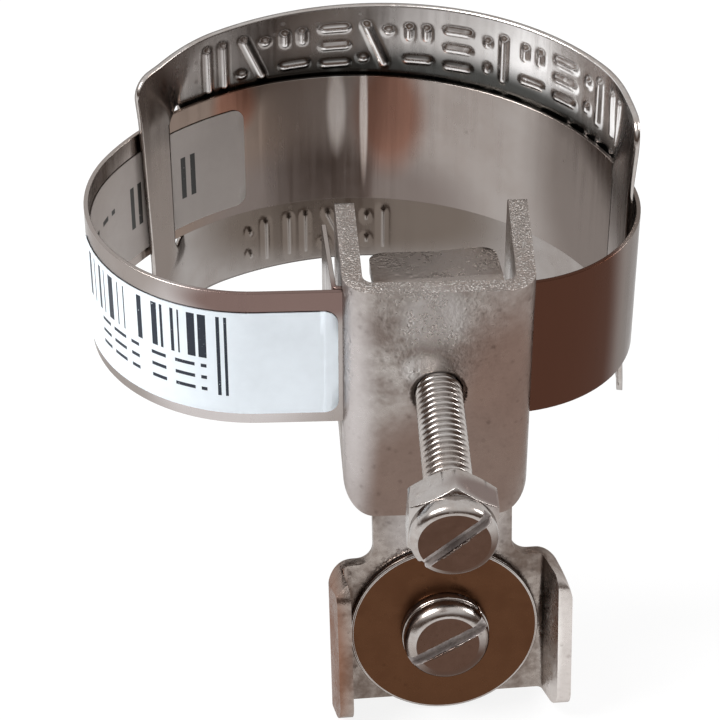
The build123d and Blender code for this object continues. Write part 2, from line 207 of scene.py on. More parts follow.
# %% Plating clouds
def make_clouds():
    """Soft uneven tint, and a change of roughness that goes with it."""
    inputs = [
        ("Vector", "v", None),
        ("Colour", "c", (0.6, 0.58, 0.56, 1)),
        ("Stain", "c", (0.3, 0.22, 0.16, 1)),
        ("Amount", "f", 0.5),
        ("Scale", "f", 120.0),
        ("Roughness", "f", 0.3),
    ]
    outputs = [("Colour", "c"), ("Roughness", "f")]
    tree, group_in, group_out = new_group("plating clouds", inputs, outputs)
    get = group_in.outputs
    broad = put(tree, "TexNoise", None, Vector=get["Vector"], Scale=get["Scale"], Detail=4.0)
    finer = calc(tree, "MULTIPLY", get["Scale"], 7.0)
    fine = put(tree, "TexNoise", None, Vector=get["Vector"], Scale=finer, Detail=3.0)
    mask = calc(tree, "MULTIPLY_ADD", fine.outputs[0], 0.45, broad.outputs[0])
    mask = ramp(tree, mask, 0.5, 0.95)
    mask = calc(tree, "MULTIPLY", mask, get["Amount"], clamp=True)
    tinted = mix_colours(tree, mask, get["Colour"], get["Stain"])
    rough = calc(tree, "MULTIPLY_ADD", mask, 0.25, get["Roughness"])
    tree.links.new(tinted, group_out.inputs["Colour"])
    tree.links.new(rough, group_out.inputs["Roughness"])
    return tree


clouds = make_clouds()
print("group:", clouds.name)

# %% [markdown]
# ## Rolled grain
# Rolled and drawn metal has fine lines along one direction. An image of brushed steel would
# show them, but it needs unwrapping and repeats. Noise whose coordinates are stretched along
# one axis needs neither, and each metal only says how far along each axis.


# %% Rolled grain
def make_grain():
    """Height of fine lines: noise that is stretched along one axis."""
    inputs = [("Vector", "v", None), ("Stretch", "v", (40, 4000, 4000))]
    tree, group_in, group_out = new_group("rolled grain", inputs, [("Height", "f")])
    get = group_in.outputs
    scaled = put(tree, "VectorMath", {"operation": "MULTIPLY"}, i0=get["Vector"], i1=get["Stretch"])
    lines = put(tree, "TexNoise", None, Vector=scaled.outputs[0], Scale=1.0, Detail=3.0)
    height = calc(tree, "SUBTRACT", lines.outputs[0], 0.5)
    tree.links.new(height, group_out.inputs["Height"])
    return tree


grain = make_grain()
print("group:", grain.name)

# %% [markdown]
# ## Pits
# Handling leaves small pits and specks, more of them in some patches. They are too small to
# be worth modelling. Cells of a Voronoi texture give the round pits, and a broad noise chooses
# the patches that have them.


# %% Pits
def make_pits():
    """Mask of small scattered pits and specks."""
    inputs = [("Vector", "v", None), ("Scale", "f", 900.0), ("Share", "f", 0.25)]
    tree, group_in, group_out = new_group("pits", inputs, [("Mask", "f")])
    get = group_in.outputs
    cells = put(tree, "TexVoronoi", None, Vector=get["Vector"], Scale=get["Scale"])
    broad = calc(tree, "MULTIPLY", get["Scale"], 0.21)
    patches = put(tree, "TexNoise", None, Vector=get["Vector"], Scale=broad, Detail=2.0)
    near = ramp(tree, cells.outputs["Distance"], 0.05, 0.28, 1.0, 0.0)
    limit = calc(tree, "SUBTRACT", 1.0, get["Share"])
    chosen = ramp(tree, calc(tree, "SUBTRACT", patches.outputs[0], limit), -0.35, -0.2)
    tree.links.new(calc(tree, "MULTIPLY", near, chosen), group_out.inputs["Mask"])
    return tree


pits = make_pits()
print("group:", pits.name)

# %% [markdown]
# ## Zones of painted light
# Bright metal carries the tints of what lies round it, and here they are painted into its colour
# in zones: painted reflections, painted highlights and painted shade, such as a painted brown
# reflection on the strap's right front and a painted highlight on the channel's left. They could
# be painted by hand on an unwrapped mesh, but a soft round mask with a centre and a size in
# millimetres needs no unwrapping, and can be moved by changing a number.


# %% Zones of painted light
def make_zone():
    """Soft round region around a place, as a mask from 0 to 1."""
    inputs = [("Vector", "v", None), ("Centre", "v", (0, 0, 0)), ("Size", "v", (0.01, 0.01, 0.01))]
    tree, group_in, group_out = new_group("tint zone", inputs, [("Mask", "f")])
    get = group_in.outputs
    away = put(tree, "VectorMath", {"operation": "SUBTRACT"}, i0=get["Vector"], i1=get["Centre"])
    part = put(tree, "VectorMath", {"operation": "DIVIDE"}, i0=away.outputs[0], i1=get["Size"])
    length = put(tree, "VectorMath", {"operation": "LENGTH"}, i0=part.outputs[0])
    mask = ramp(tree, length.outputs["Value"], 0.45, 1.0, 1.0, 0.0)
    tree.links.new(mask, group_out.inputs["Mask"])
    return tree


zone = make_zone()


def tint(tree, place, shade, spot, share=None):
    """Shade with one more zone of painted light: (centre, size, colour) in millimetres."""
    centre, size = ([value * MM for value in triple] for triple in spot[:2])
    mask = use_group(tree, zone, Vector=place, Centre=centre, Size=size).outputs["Mask"]
    if share is not None:
        mask = calc(tree, "MULTIPLY", mask, share)
    return mix_colours(tree, mask, shade, (*spot[2], 1))


print("group:", zone.name)

# %% [markdown]
# ## Sheared edges
# The channel's upper edges were sheared, not rolled. They are darker than the sheet's face and
# torn, and small glints are painted on them as highlights. Their faces could be selected and
# given a metal of their own, but the bevel would part the two metals sharply. They point up or
# down, so here the normal finds them, and the change stays soft.


# %% Sheared edges
def make_cut_edge():
    """Faces pointing up or down, where the sheet was sheared: darker, torn, with painted glints."""
    inputs = [
        ("Vector", "v", None),
        ("Normal", "v", None),
        ("Colour", "c", (0.5, 0.5, 0.5, 1)),
        ("Share", "f", 1.0),
    ]
    outputs = [("Colour", "c"), ("Height", "f")]
    tree, group_in, group_out = new_group("sheared edge", inputs, outputs)
    get = group_in.outputs
    upright = put(tree, "SeparateXYZ", None, Vector=get["Normal"]).outputs["Z"]
    mask = ramp(tree, calc(tree, "ABSOLUTE", upright), 0.75, 0.95)
    mask = calc(tree, "MULTIPLY", mask, get["Share"])
    dull = (0.25, 0.215, 0.195, 1)
    worn = mix_colours(tree, calc(tree, "MULTIPLY", mask, 0.7), get["Colour"], dull)
    torn = put(tree, "TexNoise", None, Vector=get["Vector"], Scale=5600.0, Detail=3.0)
    # Painted glints: near-white specks mixed into the colour as highlights.
    painted_glint_spots = ramp(tree, torn.outputs[0], 0.53, 0.68)
    painted_glint = calc(tree, "MULTIPLY", calc(tree, "MULTIPLY", painted_glint_spots, mask), 0.45)
    with_painted_glints = mix_colours(tree, painted_glint, worn, (0.95, 0.93, 0.91, 1))
    tree.links.new(with_painted_glints, group_out.inputs["Colour"])
    tree.links.new(calc(tree, "MULTIPLY", torn.outputs[0], mask), group_out.inputs["Height"])
    return tree


cut_edge = make_cut_edge()
print("group:", cut_edge.name)

# %% [markdown]
# ## Painted light on the pressed tag
# The tag's inner face gets painted shade low down and a painted reflection of the strap just
# above it, and the crests of its pressed marks get painted highlights. Both could be painted,
# but the mesh knows where they are when it is made. So the tag gets a map of its own: across
# is how far the press raised the sheet, and up is 1 on the inner face.


# %% Painted light on the pressed tag
def pressed_tag_painted_light(tree, place, shade, painted_light_zones):
    """Colour with painted shade and reflection on the inner face, and painted crest highlights."""
    chart = put(tree, "UVMap", {"uv_map": "pressed"}).outputs["UV"]
    parts = put(tree, "SeparateXYZ", None, Vector=chart).outputs
    for spot in painted_light_zones:
        shade = tint(tree, place, shade, spot, share=parts["Y"])
    # Painted highlights: the raised crests are mixed toward near white.
    crest = ramp(tree, parts["X"], 0.35, 0.95, 0.0, 0.8)
    return mix_colours(tree, crest, shade, (0.93, 0.91, 0.90, 1))


print("helper:", pressed_tag_painted_light.__name__)

# %% [markdown]
# ## One recipe for all metals
# All the metals are a metallic shader whose colour and roughness come from the clouds, then
# the zones of painted light and the sheared edges, with grain and pits as bump. What differs
# is the colour, how rough it is, and which way the grain runs. Each metal could be a shader of
# its own, built by hand, but one recipe keeps them alike, as metals in the same light are.


# %% Metal recipe
def metal(
    name, colour, stain, roughness, amount, cloud_scale, stretch, depth, pit_share,
    painted_light_zones=(), cut=0.0, painted_inner_shade_and_reflection=(),
):
    """Plated or rolled metal. Depth is the bump's in metres, and cut is for sheared edges."""
    material = bpy.data.materials.new(name)
    material.use_nodes = True
    tree = material.node_tree
    shader = tree.nodes["Principled BSDF"]
    shader.inputs["Metallic"].default_value = 1.0
    shader.inputs["Specular Tint"].default_value = (*[0.55 + 0.4 * c for c in colour], 1)
    where = put(tree, "TexCoord").outputs
    place = where["Object"]
    plating = use_group(
        tree, clouds, Vector=place, Colour=(*colour, 1), Stain=(*stain, 1),
        Amount=amount, Scale=cloud_scale, Roughness=roughness,
    )
    shade = plating.outputs["Colour"]
    # Zones of painted reflection, highlight and shade, mixed into the colour.
    for spot in painted_light_zones:
        shade = tint(tree, place, shade, spot)
    if painted_inner_shade_and_reflection:
        shade = pressed_tag_painted_light(tree, place, shade, painted_inner_shade_and_reflection)
    edge = use_group(tree, cut_edge, Vector=place, Normal=where["Normal"], Colour=shade, Share=cut)
    lines = use_group(tree, grain, Vector=place, Stretch=stretch).outputs["Height"]
    specks = use_group(tree, pits, Vector=place, Share=pit_share).outputs["Mask"]
    rough = calc(tree, "MULTIPLY_ADD", lines, 0.25, plating.outputs["Roughness"])
    rough = calc(tree, "MULTIPLY_ADD", specks, 0.2, rough, clamp=True)
    height = calc(tree, "MULTIPLY_ADD", specks, -0.6, lines)
    height = calc(tree, "MULTIPLY_ADD", edge.outputs["Height"], 2.5, height)
    bump = put(tree, "Bump", None, Height=height, Distance=depth)
    tree.links.new(edge.outputs["Colour"], shader.inputs["Base Color"])
    tree.links.new(rough, shader.inputs["Roughness"])
    tree.links.new(bump.outputs["Normal"], shader.inputs["Normal"])
    return material


UPRIGHT = (1500, 1500, 60)
EVEN = (900, 900, 900)
SPANGLE = (3600, 3600, 3600)
print("grain upright, even or as the plating's spangle")

# %% [markdown]
# ## Plated sheet
# The channel and the saddle are zinc plated sheet steel, slightly rough. The channel's web has
# painted brown reflections on the right and low down, and painted highlights along the left,
# near the top, around the screw and on the left leg. The saddle is darker, with a painted brown
# reflection on its left wing, painted highlights in its middle and on its right wing, and
# painted shade on its shelf. One even grey would look like plastic.

# %% Plated sheet
plated_steel = metal(
    "plated steel", (0.42, 0.385, 0.36), (0.17, 0.125, 0.105), roughness=0.25, amount=0.75,
    cloud_scale=200, stretch=SPANGLE, depth=0.00005, pit_share=0.45, cut=1.0,
    # Painted brown reflections on the right and low down, painted highlights left, top, screw, leg.
    painted_light_zones=[
        ((6.5, -26, -1), (7.5, 5, 14), (0.20, 0.135, 0.11)),
        ((0, -26, -9.5), (11, 5, 11), (0.20, 0.142, 0.118)),
        ((-9, -26, -1), (4.5, 5, 22), (0.56, 0.52, 0.51)),
        ((-0.5, -26, 8), (3.5, 3, 4), (0.52, 0.49, 0.475)),
        ((-1.2, -26, 2.6), (2.4, 3, 2.0), (0.66, 0.63, 0.61)),
        ((-8.4, -17, 7), (1.2, 8, 8), (0.50, 0.45, 0.43)),
    ],
)
saddle_steel = metal(
    "plated steel of the saddle", (0.36, 0.315, 0.285), (0.13, 0.09, 0.07), roughness=0.22,
    amount=0.85, cloud_scale=230, stretch=SPANGLE, depth=0.00004, pit_share=0.5,
    # Painted: brown reflection on the left wing, highlights mid and right, shade on the shelf.
    painted_light_zones=[
        ((-11, -28, -27), (4.4, 14, 16), (0.24, 0.115, 0.07)),
        ((1, -24, -16), (7, 6, 6), (0.40, 0.365, 0.35)),
        ((11, -29, -27), (3, 5, 12), (0.66, 0.61, 0.58)),
        ((9.7, -29.5, -25.5), (1.8, 5, 10), (0.93, 0.89, 0.86)),
        ((0.5, -16, 7), (7, 7, 2.5), (0.27, 0.235, 0.215)),
    ],
)
print("metals:", plated_steel.name, "/", saddle_steel.name)

# %% [markdown]
# ## Screw metals
# Screws, nut and spring washer are bright plated. The heads' flat faces and their lower rims
# get a painted dark brown reflection of the washer, and the nut a paler painted one. The slots
# are dull, with painted light on their walls, and the large washer is turned, with a painted
# dark brown reflection. Each gets a metal of its own, because a screw's faces differ that much.

# %% Screw metals
bright_steel = metal(
    "bright plated steel", (0.50, 0.47, 0.45), (0.27, 0.20, 0.16), roughness=0.16, amount=0.4,
    cloud_scale=300, stretch=EVEN, depth=0.00001, pit_share=0.3,
    # Painted brown reflections of the washer on both heads' lower rims, and a paler one on the nut.
    painted_light_zones=[
        ((2.0, -43.8, -2.4), (5.4, 1.9, 4.6), (0.10, 0.062, 0.047)),
        ((2.2, -27.8, -28.4), (6.4, 3.4, 4.5), (0.09, 0.052, 0.038)),
        ((2.4, -41.4, 2.0), (4.2, 1.7, 5.0), (0.22, 0.17, 0.155)),
    ],
)
# The heads' flat faces: dark brown as a painted reflection of the washer.
head_steel = metal(
    "head with painted reflection", (0.10, 0.056, 0.04), (0.065, 0.034, 0.022), roughness=0.22, amount=0.45,
    cloud_scale=260, stretch=EVEN, depth=0.000008, pit_share=0.3,
)
# The slots' walls: dull, and painted bright where light falls into them.
slot_steel = metal(
    "slot with painted light", (0.70, 0.66, 0.64), (0.30, 0.26, 0.25), roughness=0.45, amount=0.8,
    cloud_scale=700, stretch=EVEN, depth=0.00003, pit_share=0.3,
)
# The large washer: its dark brown is a painted reflection.
washer_steel = metal(
    "turned washer with painted reflection", (0.098, 0.044, 0.022), (0.07, 0.028, 0.014), roughness=0.22, amount=0.45,
    cloud_scale=70, stretch=EVEN, depth=0.000006, pit_share=0.12,
)
for material in (bright_steel, head_steel, slot_steel, washer_steel):
    print("metal:", material.name)

# %% [markdown]
# ## Strap and tag
# Both are thin rolled sheet, so their grain runs upright and very fine. The strap has a painted
# brown reflection on the right front, two painted highlights as bright streaks at the back, and
# more painted reflections, highlights and shade round the loop. The tag is aluminium, with a
# painted highlight at the right, and its inner face has painted shade low down and is nearly
# black just above the strap, a painted reflection of the strap.

# %% Strap and tag metals
strap_steel = metal(
    "rolled strap", (0.36, 0.325, 0.305), (0.26, 0.20, 0.17), roughness=0.17, amount=0.35,
    cloud_scale=70, stretch=UPRIGHT, depth=0.000004, pit_share=0.1,
    # Painted reflections and shade round the loop, and painted highlights at the back and front
    # left.
    painted_light_zones=[
        ((-20, 8, 2), (14, 9, 30), (0.23, 0.175, 0.145)),
        ((-9, 11, -4.5), (22, 7, 8), (0.20, 0.165, 0.15)),
        ((15, -1.3, 5), (9, 10, 20), (0.19, 0.16, 0.145)),
        ((-16.7, 8.9, 7.5), (2.8, 3, 4), (0.24, 0.12, 0.085)),
        ((-2.4, 11.1, 5), (4.4, 4, 8), (0.23, 0.12, 0.088)),
        ((-7.3, 11.2, 5.5), (1.1, 3, 6), (0.85, 0.82, 0.80)),
        ((-4.75, 11.3, 5), (0.5, 3, 9), (0.85, 0.78, 0.74)),
        ((-19, -23, 1), (13, 6, 12), (0.58, 0.54, 0.53)),
        ((-13, -23, 8), (15, 3, 2.6), (0.20, 0.135, 0.12)),
        ((11.4, -21.0, 1), (8.0, 9, 40), (0.072, 0.03, 0.019)),
        ((18, -13, 1), (3.2, 9, 40), (0.17, 0.14, 0.125)),
    ],
)
tag_metal = metal(
    "aluminium tag", (0.36, 0.335, 0.32), (0.23, 0.185, 0.165), roughness=0.20, amount=0.4,
    cloud_scale=80, stretch=UPRIGHT, depth=0.000005, pit_share=0.15,
    # Painted highlights at the back and top right, and painted shade at the left end.
    painted_light_zones=[
        ((2, 10, 12), (16, 9, 11), (0.53, 0.505, 0.49)),
        ((-24.5, 2, 2), (4, 5, 40), (0.23, 0.195, 0.175)),
        ((14, 2, 12), (13, 13, 11), (0.97, 0.95, 0.94)),
    ],
    # Inner face: painted shade low down, and a near-black painted reflection of the strap above it.
    painted_inner_shade_and_reflection=[
        ((-6, 12, -6), (26, 9, 8), (0.16, 0.13, 0.11)),
        ((1, 5, 8.4), (30, 24, 4.4), (0.07, 0.07, 0.066)),
    ],
)
print("metals:", strap_steel.name, "/", tag_metal.name)

# %% [markdown]
# ## Dashes
# The labels carry a generic print: plain bars, and rows of short dashes. A dash is the first
# part of each step along the label, and a noise that depends on the step alone makes the
# dashes uneven. Drawing them one by one would take a node for each.


# %% Rows of dashes
def make_dashes():
    """Row of short dashes of uneven length, between two heights, as a mask."""
    names = ("Along", "Up", "Pitch", "From", "To", "Low", "High")
    inputs = [(name, "f", 0.0) for name in names]
    tree, group_in, group_out = new_group("dashes", inputs, [("Mask", "f")])
    get = group_in.outputs
    step = calc(tree, "DIVIDE", get["Along"], get["Pitch"])
    within = calc(tree, "FRACT", step)
    number = put(tree, "TexWhiteNoise", {"noise_dimensions": "1D"}, W=calc(tree, "FLOOR", step))
    share = calc(tree, "MULTIPLY_ADD", number.outputs["Value"], 0.4, 0.4)
    mask = calc(tree, "LESS_THAN", within, share)
    mask = calc(tree, "MULTIPLY", mask, between(tree, get["Along"], get["From"], get["To"]))
    mask = calc(tree, "MULTIPLY", mask, between(tree, get["Up"], get["Low"], get["High"]))
    tree.links.new(mask, group_out.inputs["Mask"])
    return tree


dashes = make_dashes()
print("group:", dashes.name)

# %% [markdown]
# ## Printed film
# The labels are white film, a little glossy and rippled by hand. The print is placed by the
# label's own map, which holds millimetres along and up it, so bars stay sharp at any distance.


# %% Printed film
def film(name, paper, ink, bars, rows):
    """White film. Bars are (from, to, low, high), and rows are the inputs of the dashes."""
    material = bpy.data.materials.new(name)
    material.use_nodes = True
    tree = material.node_tree
    shader = tree.nodes["Principled BSDF"]
    shader.inputs["Specular IOR Level"].default_value = 0.35
    chart = put(tree, "UVMap", {"uv_map": "millimetres"}).outputs["UV"]
    parts = put(tree, "SeparateXYZ", None, Vector=chart).outputs
    along, up = parts["X"], parts["Y"]
    marks = []
    for start, end, low, high in bars:
        bar = between(tree, along, start, end)
        marks.append(calc(tree, "MULTIPLY", bar, between(tree, up, low, high)))
    for row in rows:
        marks.append(use_group(tree, dashes, Along=along, Up=up, **row).outputs["Mask"])
    mask = marks[0]
    for other in marks[1:]:
        mask = calc(tree, "MAXIMUM", mask, other)
    place = put(tree, "TexCoord").outputs["Object"]
    worn = put(tree, "TexNoise", None, Vector=place, Scale=5200.0, Detail=2.0)
    mask = calc(tree, "MULTIPLY", mask, ramp(tree, worn.outputs[0], 0.18, 0.32))
    sheet = use_group(
        tree, clouds, Vector=place, Colour=(*paper, 1), Stain=(*[0.82 * c for c in paper], 1),
        Amount=0.35, Scale=150.0, Roughness=0.34,
    )
    ripple = put(tree, "TexNoise", None, Vector=place, Scale=420.0, Detail=3.0)
    bump = put(tree, "Bump", None, Height=ripple.outputs[0], Distance=0.000012)
    colour = mix_colours(tree, mask, sheet.outputs["Colour"], (*ink, 1))
    tree.links.new(colour, shader.inputs["Base Color"])
    tree.links.new(sheet.outputs["Roughness"], shader.inputs["Roughness"])
    tree.links.new(bump.outputs["Normal"], shader.inputs["Normal"])
    return material


print("recipe:", film.__name__)

# %% [markdown]
# The outer film is still bright. It has upright bars of different widths, the last two of
# them longer, and three rows of dashes below. The inner film is seen in the shade of the loop
# and is darker, with a few bars and two rows of dashes. A picture of the print would be the
# usual way, but it would have to be drawn first, and these few numbers are enough.

# %% Both films
BARS = [
    (2.3, 2.9), (3.6, 3.8), (4.6, 5.0), (5.5, 5.65), (6.3, 7.0), (7.6, 7.75), (8.4, 8.55),
    (10.1, 10.6), (11.65, 12.2), (12.5, 12.75), (13.5, 13.8), (14.15, 14.3), (15.0, 15.7),
    (15.95, 16.65),
]
LONG_BARS = [(17.5, 17.8), (18.15, 18.4)]
outer_film = film(
    "outer label film", (0.77, 0.84, 0.90), (0.010, 0.016, 0.03),
    [(*bar, 5.5, 9.9) for bar in BARS] + [(*bar, 1.8, 9.9) for bar in LONG_BARS],
    [dict(Pitch=2.3, From=5.0, To=16.6, Low=low, High=low + 0.35) for low in (4.5, 3.3, 2.1)],
)
inner_film = film(
    "inner label film", (0.33, 0.295, 0.275), (0.015, 0.013, 0.012),
    [(start, start + 0.55, 3.0, 7.4) for start in (14.6, 15.7, 16.8, 21.4, 22.5)],
    [
        dict(Pitch=1.9, From=1.0, To=12.0, Low=6.4, High=6.9),
        dict(Pitch=1.5, From=1.0, To=9.0, Low=3.6, High=4.1),
    ],
)
print("films:", outer_film.name, "/", inner_film.name)

# %% [markdown]
# ## Dress the CAD nodes
# Folded sheet is never sharp: shearing, handling and plating round its edges a little, and the
# round edge catches the light. The CAD meshes stay as they are, so the edges are broken by a
# bevel modifier, after a weld that joins the faces. The washer's bevel takes a brighter metal,
# as a painted highlight on its rim.


# %% Dress the CAD nodes
def smooth_shade(piece):
    """Smooth shading that large faces lead, so that flat faces still look flat."""
    for face in piece.data.polygons:
        face.use_smooth = True
    normals = piece.modifiers.new("weighted normals", "WEIGHTED_NORMAL")
    normals.keep_sharp = False
    normals.weight = 60


def dress(node, material, edge, segments=2, painted_highlight_rim=None):
    """Give a CAD node its material, and break its sharp edges by so many metres."""
    piece = nodes[node]
    piece.data.materials.clear()
    piece.data.materials.append(material)
    weld = piece.modifiers.new("weld", "WELD")
    weld.merge_threshold = 0.000002
    bevel = piece.modifiers.new("broken edges", "BEVEL")
    bevel.width = edge
    bevel.segments = segments
    bevel.limit_method = "ANGLE"
    bevel.angle_limit = math.radians(35)
    # A second metal on the bevel's faces paints a highlight along the edge.
    if painted_highlight_rim:
        piece.data.materials.append(painted_highlight_rim)
        bevel.material = 1
    smooth_shade(piece)
    print(node, "edges broken by", round(edge / MM, 2), "mm")


dress("clamp_body", plated_steel, 0.00018, 3)
dress("terminal_saddle", saddle_steel, 0.00015, 3)
dress("lock_nut", bright_steel, 0.0001)
# The bright metal on the washer's bevel is a painted highlight on its rim.
dress("terminal_washer", washer_steel, 0.00012, 2, bright_steel)
dress("spring_washer", bright_steel, 0.0001)
dress("strap", strap_steel, 0.00005)

# %% [markdown]
# ## Meshes of our own
# A bmesh builder gathers vertices and faces. Most round things here are rows of vertices with
# faces between neighbouring rows, and these helpers make such a skin and turn it into an
# object with its faces outwards. Primitives with modifiers could do it too, but a thread could
# not be made that way.


# %% Rows, skins and objects
def ring_of(builder, radius_at, height, columns):
    """Ring of vertices round the Z axis. The radius may depend on the column."""
    row = []
    for column in range(columns):
        turn = 2 * math.pi * column / columns
        radius = radius_at(column)
        row.append(builder.verts.new((radius * math.cos(turn), radius * math.sin(turn), height)))
    return row


def skin(builder, rows, along=False):
    """Faces between neighbouring rows, each begun along its row or across to the next."""
    for here, there in zip(rows, rows[1:]):
        for side in range(len(here)):
            after = (side + 1) % len(here)
            face = [here[side], there[side], there[after], here[after]]
            if along:
                face = [here[side], here[after], there[after], there[side]]
            builder.faces.new(face)


def mesh_object(name, builder):
    """Object from a bmesh, with its faces turned outwards."""
    bmesh.ops.recalc_face_normals(builder, faces=builder.faces)
    mesh = bpy.data.meshes.new(name)
    builder.to_mesh(mesh)
    builder.free()
    piece = bpy.data.objects.new(name, mesh)
    bpy.context.scene.collection.objects.link(piece)
    return piece


print("helpers:", ring_of.__name__, skin.__name__, mesh_object.__name__)

# %% [markdown]
# ## Thread
# The two screws are M4, with a ridge every 0.7 mm. A screw modifier on a small profile would
# make the ridge too, but not its tapered tip. So the shank is a grid on a cylinder whose radius
# goes up and down with the depth minus the share of a turn, which makes one ridge that winds
# round.

# %% Thread
PITCH = 0.7
CORE, RIDGE, TIP = 1.58, 0.41, 1.5


def thread(builder, length, columns=48, rows_per_turn=8):
    """Ridge of an M4 thread below the head, with a tapered tip."""
    count = round(length / PITCH * rows_per_turn)
    rows = []
    for index in range(count + 1):
        depth = length * index / count

        def radius_at(column):
            wave = abs(((-depth / PITCH - column / columns) % 1.0) * 2 - 1)
            crest = min(1.0, max(0.0, (wave - 0.12) / 0.72))
            return min(CORE + RIDGE * crest, TIP + (length - depth))

        rows.append(ring_of(builder, radius_at, -depth, columns))
    skin(builder, rows)
    builder.faces.new(list(reversed(rows[-1])))
    builder.faces.new(rows[0])


print("thread: core", 2 * CORE, "mm, crest", round(2 * (CORE + RIDGE), 2), "mm")

# %% [markdown]
# ## Head
# A cheese head is a low cylinder whose upper edge is rounded. It is its half outline, turned
# round the axis: from the flat of the top over the rounding, down the side and in under the
# head. A cylinder with a bevel would do as well, but here the rounding is exact and even.


# %% Head
def plain_head(builder, diameter, height, rounding, columns=96):
    """Cheese head without its slot, from the middle of its top to its underside."""
    flat = diameter / 2 - rounding
    outline = [(flat, height)]
    for step in range(1, 9):
        angle = step / 8 * math.pi / 2
        drop = height - rounding + rounding * math.cos(angle)
        outline.append((flat + rounding * math.sin(angle), drop))
    outline += [(diameter / 2, 0.0), (1.6, 0.0)]
    rows = [ring_of(builder, lambda column: radius, up, columns) for radius, up in outline]
    skin(builder, rows)
    builder.faces.new(rows[0])
    builder.faces.new(list(reversed(rows[-1])))


print("helper:", plain_head.__name__)

# %% [markdown]
# ## A used slot
# A screwdriver tears the sides of a slot. So the slot is cut by a box whose upper edges are
# uneven, where a plain cube would leave it as new. The scatter comes from a sine with a large
# factor, so each run gives the same slot.


# %% A used slot
def scatter(seed, turn, factor):
    """Number from 0 to 1 that looks random but is the same each run."""
    return math.sin(seed * turn) * factor % 1


def slot_cutter(builder, diameter, width, depth, burr):
    """Box that cuts the slot, with uneven upper edges."""
    rows = []
    for index in range(41):
        x = (index / 20 - 1) * diameter
        rough = [
            burr * (scatter(index + side * 17, 12.9898, 43758.5453) - 0.5) for side in (0, 1)
        ]
        corners = [
            (x, -width / 2, -depth), (x, width / 2, -depth),
            (x, width / 2 + rough[0], depth), (x, -width / 2 + rough[1], depth),
        ]
        rows.append([builder.verts.new(corner) for corner in corners])
    skin(builder, rows, along=True)
    builder.faces.new(rows[0])
    builder.faces.new(list(reversed(rows[-1])))


print("scatter:", [round(scatter(index, 12.9898, 43758.5453), 2) for index in (1, 2, 3)])

# %% [markdown]
# The screwdriver also raises a thin lip along one side of the slot. It could be pulled out of
# the head by hand in edit mode. A thin ribbon of uneven height, set into the head, looks the
# same and follows the slot's width and angle.


# %% Torn lip
def lip(builder, height, width, angle, start, end, steps=46):
    """Torn lip that a screwdriver raised along one side of the slot."""
    rows = []
    for index in range(steps + 1):
        x = start + (end - start) * index / steps
        torn = scatter(index, 78.233, 9631.7)
        crest = height + (0.02 + 0.17 * torn) * math.sin(math.pi * index / steps)
        section = [
            (-width / 2 - 0.2, height - 0.03),
            (-width / 2 - 0.02 * torn, crest),
            (-width / 2 + 0.05, height - 0.12),
        ]
        turned = Matrix.Rotation(angle, 3, "Z")
        rows.append([builder.verts.new(turned @ Vector((x, y, z))) for y, z in section])
    skin(builder, rows, along=True)
    builder.faces.new(rows[0])
    builder.faces.new(list(reversed(rows[-1])))


print("helper:", lip.__name__)

# %% [markdown]
# ## Whole screws
# The slot could be modelled face by face, but a boolean cuts it in one go, and a small bevel
# wears its edges. The result is read back as a mesh, to which the thread is added. Then each
# face gets its metal by where it is: in the slot, on the flat of the head, or elsewhere.


# %% Cut the head
def cut_head(name, head, slot, burr):
    """Mesh of a cheese head with its slot cut and its edges worn, in millimetres."""
    width, depth, angle = slot
    builder = bmesh.new()
    plain_head(builder, *head)
    top = mesh_object(name + "_head", builder)
    builder = bmesh.new()
    slot_cutter(builder, head[0], width, depth, burr)
    box = mesh_object(name + "_slot", builder)
    turn = Matrix.Rotation(math.radians(angle), 4, "Z")
    box.matrix_world = Matrix.Translation((0, 0, head[1])) @ turn
    cut = top.modifiers.new("slot", "BOOLEAN")
    cut.object = box
    soft = top.modifiers.new("worn edges", "BEVEL")
    soft.width = 0.07
    soft.segments = 2
    soft.limit_method = "ANGLE"
    soft.angle_limit = math.radians(40)
    bpy.context.view_layer.update()
    evaluated = top.evaluated_get(bpy.context.evaluated_depsgraph_get())
    finished = bpy.data.meshes.new_from_object(evaluated)
    for helper in (top, box):
        bpy.data.objects.remove(helper)
    print(name, "head:", len(finished.polygons), "faces")
    return finished


# %% [markdown]
# A screw is built at the origin, with Z out of its head, and in the end its mesh is moved to
# its place. Only the mesh moves, so the object's own coordinates stay those of the frame, and
# the zones of painted light still find their places.


# %% Build a screw
def metal_of(face, head, slot):
    """Number of a face's metal: 2 in the slot, 1 on the flat of the head, 0 elsewhere."""
    diameter, height, rounding = head
    width, depth, angle = slot
    middle = face.center
    reach = math.hypot(middle.x, middle.y)
    turned = Matrix.Rotation(-math.radians(angle), 3, "Z") @ middle
    in_slot = abs(turned.y) < width / 2 + 0.04 and reach < diameter / 2 - 0.03
    if in_slot and height - depth - 0.03 < middle.z < height - 0.07:
        return 2
    on_flat = face.normal.z > 0.9 and middle.z > height - 0.05
    return 1 if on_flat and reach < diameter / 2 - rounding else 0


def screw(name, place, head, slot, length, burr):
    """Slotted screw whose head stands on the place's plane, with its thread below it."""
    builder = bmesh.new()
    builder.from_mesh(cut_head(name, head, slot, burr))
    thread(builder, length)
    diameter, height = head[:2]
    lip(
        builder, height, slot[0], math.radians(slot[2]), -0.62 * diameter / 2, 0.55 * diameter / 2
    )
    piece = mesh_object(name, builder)
    for face in piece.data.polygons:
        face.material_index = metal_of(face, head, slot)
    piece.data.transform(place @ Matrix.Scale(MM, 4))
    for material in (bright_steel, head_steel, slot_steel):
        piece.data.materials.append(material)
    smooth_shade(piece)
    return piece


print("helpers:", metal_of.__name__, screw.__name__)

